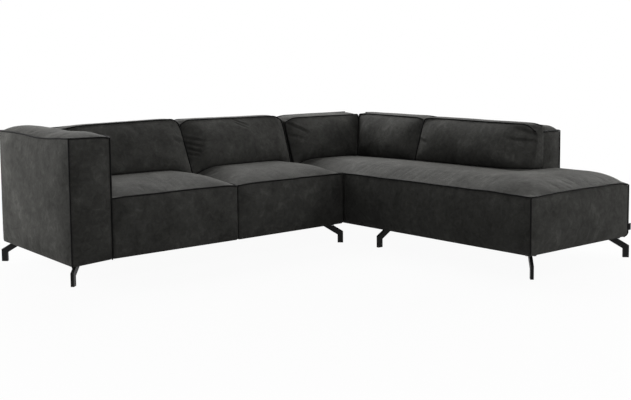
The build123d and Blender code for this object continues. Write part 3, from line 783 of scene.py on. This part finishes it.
class Cushion:
    """A boxed cushion: a flat rear, a band round it and a leaning, crowned front."""

    def __init__(self, name, facing, seat, seed, shape):
        self.name = name
        self.facing = facing
        self.seat = seat
        self.seed = seed
        self.shape = shape
        low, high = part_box(name + "_cover")
        self.start, self.end = (low[0], high[0]) if facing == "-Y" else (-high[1], -low[1])
        start_inset, end_inset = shape.get("inset", (0.0, 0.0))
        self.start += start_inset
        self.end -= end_inset
        self.rear = rear_line if facing == "-Y" else side_line

    def place(self, across, depth, height):
        """A point in the frame from the distance along the back, off the back and up."""
        if self.facing == "-Y":
            return np.stack([across, self.rear - depth, height], axis=1)
        return np.stack([self.rear - depth, -across, height], axis=1)

    def end_effect(self, effects, from_start, from_end):
        """The sum of effects that fade away from the ends: each is an end, an amount and a spread."""
        total = np.zeros_like(from_start)
        for side, amount, spread in effects:
            distance = from_start if side == "start" else from_end
            total = total + amount * np.exp(-((distance / spread) ** 2))
        return total

    def build(self):
        """The cushion's mesh, its piping and what it stands for."""
        shape = self.shape
        full_height = CUSHION_SEAM - SEAT_SEAM
        width = self.end - self.start
        counts = (round(width / CUSHION_STEP), CUSHION_LAYERS, round(full_height / CUSHION_STEP))
        skin = Skin(counts)
        across_count, deep_count, up_count = counts
        u = skin.grid[:, 0] / across_count
        v = 1.0 - skin.grid[:, 1] / deep_count
        w = skin.grid[:, 2] / up_count
        base_depth = shape["base"][0] + (shape["base"][1] - shape["base"][0]) * u
        top_depth = shape["top"][0] + (shape["top"][1] - shape["top"][0]) * u
        full_depth = base_depth + (top_depth - base_depth) * w
        depth = v * full_depth
        start = np.full_like(u, self.start)
        end = np.full_like(u, self.end)
        if shape.get("corner") == "end":
            end = np.minimum(end, corner_line_x - depth)
        if shape.get("corner") == "start":
            start = np.maximum(start, depth - corner_line_y)
        across = start + u * (end - start)
        from_start = across - start
        from_end = end - across
        is_front = skin.grid[:, 1] == 0
        is_rear = skin.grid[:, 1] == deep_count
        is_top = skin.grid[:, 2] == up_count
        is_bottom = skin.grid[:, 2] == 0
        is_last = skin.grid[:, 0] == across_count
        is_side = (skin.grid[:, 0] == 0) | is_last
        pinch = self.end_effect(shape.get("pinch", []), from_start, from_end)
        depth = depth * (1.0 - pinch)
        level = np.stack([across, depth * 0, depth * 0], axis=1)
        top = CUSHION_SEAM + shape["rise"][0] + (shape["rise"][1] - shape["rise"][0]) * u
        hold = 1.0 - shape.get("rear_hold", 0.0) * (1.0 - v)
        top = top - hold * self.end_effect(shape["droop"], from_start, from_end)
        top = top + CUSHION_WAVE * field(level, CUSHION_WAVE_SIZE, self.seed)
        top = top + shape["tilt"] * (1.0 - v)
        bulge = swell(from_start, CUSHION_END_REACH) * swell(from_end, CUSHION_END_REACH)
        lean = math.atan2(CUSHION_BASE_DEPTH - CUSHION_TOP_DEPTH, full_height)
        up = w * full_height
        out = CUSHION_BULGE * bulge * swell(up, FRONT_LOW_REACH) * swell(full_height - up, FRONT_HIGH_REACH)
        depth = depth + np.where(is_front, out * math.cos(lean), 0.0)
        inward = np.where(u < 0.5, 1.0, -1.0)
        corner_pull = CORNER_PULL * np.exp(-(((1.0 - w) / CORNER_PULL_HEIGHT) ** 2)) * inward
        near_end = np.exp(-((np.minimum(from_start, from_end) / CORNER_PULL_SPREAD) ** 2))
        across = across + corner_pull * near_end * v
        puff = shape.get("puff", 0.0) * swell(up, PUFF_LOW_REACH) * swell(full_height - up, PUFF_HIGH_REACH)
        across = across + np.where(is_last, puff, 0.0)
        flat = self.place(across, depth, np.zeros_like(u))
        bottom = self.seat.top(flat[:, 0], flat[:, 1]) + CUSHION_LIFT
        height = bottom + w * (top - bottom)
        height += np.where(is_front, out * math.sin(lean), 0.0)
        rise = CUSHION_CROWN * bulge * swell(depth, CUSHION_CROWN_REACH)
        rise = rise * swell(full_depth - depth, CUSHION_CROWN_REACH)
        height += np.where(is_top & ~is_front & ~is_rear, rise, 0.0)
        points = self.place(across, depth, height)
        obj = make_object(self.name + "_upholstery", points, skin.faces, suede, self.name)
        normals = mesh_normals(obj)
        front_edge = is_front & (is_top | is_bottom | is_side)
        ripple = CUSHION_RIPPLE * field(points, CUSHION_RIPPLE_SIZE, self.seed + 2)
        ripple = ripple + CUSHION_FINE_RIPPLE * field(points, CUSHION_FINE_RIPPLE_SIZE, self.seed + 4)
        free = ~is_rear & ~is_bottom & ~front_edge
        points = points + normals * np.where(free & is_front, ripple, 0.0)[:, None]
        set_points(obj, points)
        inflate(obj, np.where(free, 0.0, 1.0), CUSHION_PRESSURE, CUSHION_SLACK, CUSHION_LIMIT)
        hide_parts(self.name + "_cover", self.name + "_filling")
        corners = [(0, 0, 0), (0, 0, up_count), (across_count, 0, up_count), (across_count, 0, 0)]
        rear_edge = [(0, deep_count, up_count), (across_count, deep_count, up_count)]
        round_front = corners[:3] if shape.get("plain_end") else [*corners, corners[0]]
        paths = [skin.path(*round_front), skin.path(*rear_edge)]
        piping(self.name + "_piping", obj, paths, self.name)
        refine(obj)
        self.crease(obj)

    def crease(self, obj):
        """Press the folds into the front of the settled cushion."""
        points = mesh_points(obj)
        normals = mesh_normals(obj)
        across = points[:, 0] if self.facing == "-Y" else -points[:, 1]
        ahead = -normals[:, 1] if self.facing == "-Y" else -normals[:, 0]
        front = np.clip(ahead * 3.0 - 1.0, 0.0, 1.0)
        up = points[:, 2] - SEAT_SEAM
        for fold in self.shape.get("folds", []):
            points = points + normals * (front * fold(across - self.start, self.end - across, up))[:, None]
        set_points(obj, points)


def fold_line(side, at, height, slope, length, width, depth):
    """A soft crease across a cushion's front, from a place near one end, at a height over the seat."""

    def amount(from_start, from_end, up):
        distance = from_start if side == "start" else from_end
        run = distance - at
        off = up - (height + slope * run)
        along = np.exp(-(((run - length / 2) / (length / 2)) ** 4))
        valley = np.exp(-((off / width) ** 2))
        ridge = np.exp(-(((off - width) / width) ** 2))
        return depth * along * (valley - FOLD_RIDGE * ridge)

    return amount


# Each cushion's facing, seat and shape. Pairs of values are for its start and its end, and effects at an end
# have that end, an amount and a spread.
cushion_shapes = [
    (
        "-Y", left_seat,
        {
            "base": (0.212, 0.262), "top": (0.104, 0.104), "rise": (0.012, 0.024), "tilt": -0.006,
            "droop": [("start", 0.014, 0.10), ("end", 0.022, 0.030)], "rear_hold": 0.7,
            "folds": [fold_line("end", 0.0, 0.215, 0.30, 0.10, 0.016, -0.006)],
        },
    ),
    (
        "-Y", right_seat,
        {
            "base": (0.250, 0.215), "top": (0.104, 0.108), "rise": (0.013, 0.008), "tilt": 0.0,
            "droop": [("start", 0.024, 0.030), ("end", 0.022, 0.04)], "rear_hold": 0.6,
            "inset": (0.0, 0.006),
            "folds": [
                fold_line("start", 0.0, 0.245, -0.20, 0.12, 0.008, -0.010),
                fold_line("start", 0.0, 0.212, -0.25, 0.10, 0.008, -0.012),
                fold_line("start", 0.0, 0.178, -0.30, 0.08, 0.008, -0.012),
                fold_line("start", 0.0, 0.142, -0.10, 0.06, 0.008, -0.010),
                fold_line("end", 0.32, 0.300, 0.45, 0.10, 0.007, -0.006),
                fold_line("end", 0.33, 0.285, 0.45, 0.09, 0.007, -0.005),
            ],
        },
    ),
    (
        "-Y", corner_seat,
        {
            "base": (0.220, 0.257), "top": (0.112, 0.149), "rise": (-0.010, -0.008), "tilt": 0.012,
            "droop": [("start", 0.024, 0.05)], "rear_hold": 0.5, "corner": "end", "inset": (0.008, 0.0),
            "folds": [
                fold_line("start", 0.01, 0.300, -0.55, 0.13, 0.014, -0.012),
                fold_line("start", 0.0, 0.215, -0.25, 0.10, 0.013, -0.008),
            ],
        },
    ),
    (
        "-X", corner_seat,
        {
            "base": (0.177, 0.205), "top": (0.069, 0.120), "rise": (0.000, -0.005), "tilt": 0.005,
            "droop": [("start", 0.006, 0.05), ("end", 0.008, 0.04)], "rear_hold": 0.5, "corner": "start",
        },
    ),
    (
        "-X", corner_seat,
        {
            "base": (0.212, 0.200), "top": (0.122, 0.104), "rise": (-0.003, -0.012), "tilt": 0.0,
            "droop": [("start", 0.006, 0.04), ("end", 0.004, 0.16), ("end", 0.042, 0.040)],
            "pinch": [("end", 0.52, 0.10)], "rear_hold": 0.75, "puff": 0.012, "plain_end": True,
            "folds": [
                fold_line("end", 0.0, 0.262, 0.35, 0.11, 0.013, -0.014),
                fold_line("end", 0.0, 0.222, 0.10, 0.13, 0.013, -0.012),
                fold_line("start", 0.0, 0.200, -0.20, 0.10, 0.013, -0.006),
            ],
        },
    ),
]
for number, (facing, seat, shape) in enumerate(cushion_shapes, start=1):
    Cushion(f"back_cushion_{number}", facing, seat, 10 + number, shape).build()


# Materials of the nodes that stay


def dress_nodes():
    """A material for each node that stays, and softened edges on the steel."""
    for subpart in frame["record"]["subparts"]:
        material = node_materials.get(subpart["material_slot"])
        node = frame["nodes"][subpart["node"]]
        if material is None:
            continue
        node.data.materials.clear()
        node.data.materials.append(material)
        if subpart["material_slot"] == "black_steel":
            edges = node.modifiers.new("soft_edges", "BEVEL")
            edges.width = 0.0015
            edges.segments = 2
            edges.limit_method = "ANGLE"


def underside(name, body, node):
    """The dust cloth under a unit, stapled flat."""
    low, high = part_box(node)
    low = [value + CLOTH_INSET for value in low]
    high = [value - CLOTH_INSET for value in high]
    xs = lines(low[0], high[0], step=CLOTH_STEP)
    ys = lines(low[1], high[1], step=CLOTH_STEP)
    points = []
    faces = []
    for i, x in enumerate(xs):
        for j, y in enumerate(ys):
            points.append((x, y, LEG_HEIGHT + CLOTH_LIFT))
            if i and j:
                here = i * len(ys) + j
                faces.append((here, here - len(ys), here - len(ys) - 1, here - 1))
    cloth = make_object(name, points, faces, hem_cloth, body)
    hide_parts(node)


def side_tab():
    """A blank folded tab sewn into the corner seam of the open end."""
    low = (corner_high[0] - TAB_SUNK, corner_low[1] + TAB_SIDES[0], TAB_LOW)
    high = (corner_high[0] + TAB_OUT, corner_low[1] + TAB_SIDES[1], TAB_HIGH)
    points = [(x, y, z) for x in (low[0], high[0]) for y in (low[1], high[1]) for z in (low[2], high[2])]
    faces = [(0, 1, 3, 2), (4, 6, 7, 5), (0, 4, 5, 1), (2, 3, 7, 6), (0, 2, 6, 4), (1, 5, 7, 3)]
    tab = make_object("side_tab", points, faces, piping_shade_and_tab_cloth, "corner_unit")
    edges = tab.modifiers.new("soft_edges", "BEVEL")
    edges.width = 0.0012
    edges.segments = 2


dress_nodes()
side_tab()
underside("two_seat_dust_cloth", "two_seat_unit", "two_seat_underside_cloth")
underside("corner_dust_cloth", "corner_unit", "corner_underside_cloth")


# Studio


def aim(obj, target):
    """Turn a lamp to a point."""
    direction = Vector(target) - obj.location
    obj.rotation_euler = direction.to_track_quat("-Z", "Y").to_euler()


def area_light(name, place, target, size, watts):
    """A soft square lamp."""
    data = bpy.data.lights.new(name, "AREA")
    data.shape = "SQUARE"
    data.size = size
    data.energy = watts
    lamp = bpy.data.objects.new(name, data)
    lamp.location = place
    bpy.context.scene.collection.objects.link(lamp)
    aim(lamp, target)


def seen_directly(nodes, links):
    """1 for what the camera sees, also by gloss or through glass, and 0 for light that falls on things."""
    path = nodes.new("ShaderNodeLightPath")
    gloss = nodes.new("ShaderNodeMath")
    gloss.operation = "MAXIMUM"
    links.new(path.outputs["Is Camera Ray"], gloss.inputs[0])
    links.new(path.outputs["Is Glossy Ray"], gloss.inputs[1])
    glass = nodes.new("ShaderNodeMath")
    glass.operation = "MAXIMUM"
    links.new(gloss.outputs["Value"], glass.inputs[0])
    links.new(path.outputs["Is Transmission Ray"], glass.inputs[1])
    return glass.outputs["Value"]


def studio_floor():
    """A plain pale floor that keeps the shadow and looks white around it."""
    half = 40.0
    points = [(-half, -half, 0.0), (half, -half, 0.0), (half, half, 0.0), (-half, half, 0.0)]
    mesh = bpy.data.meshes.new("floor")
    mesh.from_pydata(points, [], [(0, 1, 2, 3)])
    material, nodes, links, output = new_material("pale_floor")
    diffuse = nodes.new("ShaderNodeBsdfDiffuse")
    diffuse.inputs["Color"].default_value = (0.45, 0.45, 0.45, 1.0)
    glow = nodes.new("ShaderNodeEmission")
    glow.inputs["Color"].default_value = (1.0, 1.0, 1.0, 1.0)
    glow.inputs["Strength"].default_value = 1.0
    coordinate = nodes.new("ShaderNodeTexCoord")
    distance = nodes.new("ShaderNodeVectorMath")
    distance.operation = "LENGTH"
    links.new(coordinate.outputs["Object"], distance.inputs[0])
    fade = nodes.new("ShaderNodeMapRange")
    fade.inputs["From Min"].default_value = 1.2
    fade.inputs["From Max"].default_value = 3.6
    fade.inputs["To Min"].default_value = 0.95
    fade.inputs["To Max"].default_value = 1.0
    links.new(distance.outputs["Value"], fade.inputs["Value"])
    share = nodes.new("ShaderNodeMath")
    share.operation = "MULTIPLY"
    links.new(seen_directly(nodes, links), share.inputs[0])
    links.new(fade.outputs["Result"], share.inputs[1])
    mix = nodes.new("ShaderNodeMixShader")
    links.new(share.outputs["Value"], mix.inputs["Fac"])
    links.new(diffuse.outputs["BSDF"], mix.inputs[1])
    links.new(glow.outputs["Emission"], mix.inputs[2])
    links.new(mix.outputs["Shader"], output.inputs["Surface"])
    mesh.materials.append(material)
    floor = bpy.data.objects.new("floor", mesh)
    bpy.context.scene.collection.objects.link(floor)


def studio_world():
    """A dim even surround that the camera sees as white."""
    world = bpy.data.worlds.new("studio")
    bpy.context.scene.world = world
    world.use_nodes = True
    nodes = world.node_tree.nodes
    links = world.node_tree.links
    nodes.clear()
    output = nodes.new("ShaderNodeOutputWorld")
    seen = nodes.new("ShaderNodeBackground")
    seen.inputs["Color"].default_value = (1.0, 1.0, 1.0, 1.0)
    seen.inputs["Strength"].default_value = 1.0
    around = nodes.new("ShaderNodeBackground")
    around.inputs["Color"].default_value = (1.0, 1.0, 1.0, 1.0)
    around.inputs["Strength"].default_value = 0.13
    mix = nodes.new("ShaderNodeMixShader")
    links.new(seen_directly(nodes, links), mix.inputs["Fac"])
    links.new(around.outputs["Background"], mix.inputs[1])
    links.new(seen.outputs["Background"], mix.inputs[2])
    links.new(mix.outputs["Shader"], output.inputs["Surface"])


studio_floor()
studio_world()
area_light("top_lamp", (2.6, 5.0, 5.0), (0.0, 0.0, 0.4), 4.0, 740.0)
area_light("high_lamp", (-0.2, -1.9, 4.3), (0.2, 0.2, 0.5), 2.2, 45.0)
area_light("left_lamp", (-2.7, 1.8, 1.0), (-1.4, 0.8, 0.45), 1.2, 42.0)
area_light("front_lamp", (1.5, -3.9, 0.95), (0.3, -0.2, 0.45), 1.4, 33.0)
area_light("right_lamp", (3.4, -0.75, 1.5), (1.0, -0.95, 0.48), 1.0, 62.0)

# Camera, matched to the photograph's seams
PHOTO_WIDTH = 631.0
FOCAL_PIXELS = 990.57
SHIFT_PIXELS = -50.0
CAMERA_PLACE = (-3.6758, -4.4498, 1.1735)
CAMERA_YAW = 0.6930
CAMERA_PITCH = -0.0911
CAMERA_ROLL = -0.0092

camera_data = bpy.data.cameras.new("camera")
camera_data.sensor_width = 36.0
camera_data.lens = FOCAL_PIXELS * camera_data.sensor_width / PHOTO_WIDTH
camera_data.shift_y = SHIFT_PIXELS / PHOTO_WIDTH
camera = bpy.data.objects.new("camera", camera_data)
bpy.context.scene.collection.objects.link(camera)
ahead = Vector(
    (
        math.sin(CAMERA_YAW) * math.cos(CAMERA_PITCH),
        math.cos(CAMERA_YAW) * math.cos(CAMERA_PITCH),
        math.sin(CAMERA_PITCH),
    )
)
level_right = Vector((math.cos(CAMERA_YAW), -math.sin(CAMERA_YAW), 0.0))
level_up = level_right.cross(ahead)
right = level_right * math.cos(CAMERA_ROLL) + level_up * math.sin(CAMERA_ROLL)
upward = level_up * math.cos(CAMERA_ROLL) - level_right * math.sin(CAMERA_ROLL)
turn = Matrix((right, upward, -ahead)).transposed().to_4x4()
camera.matrix_world = Matrix.Translation(CAMERA_PLACE) @ turn
bpy.context.scene.camera = camera
bpy.context.scene.view_settings.view_transform = "Standard"
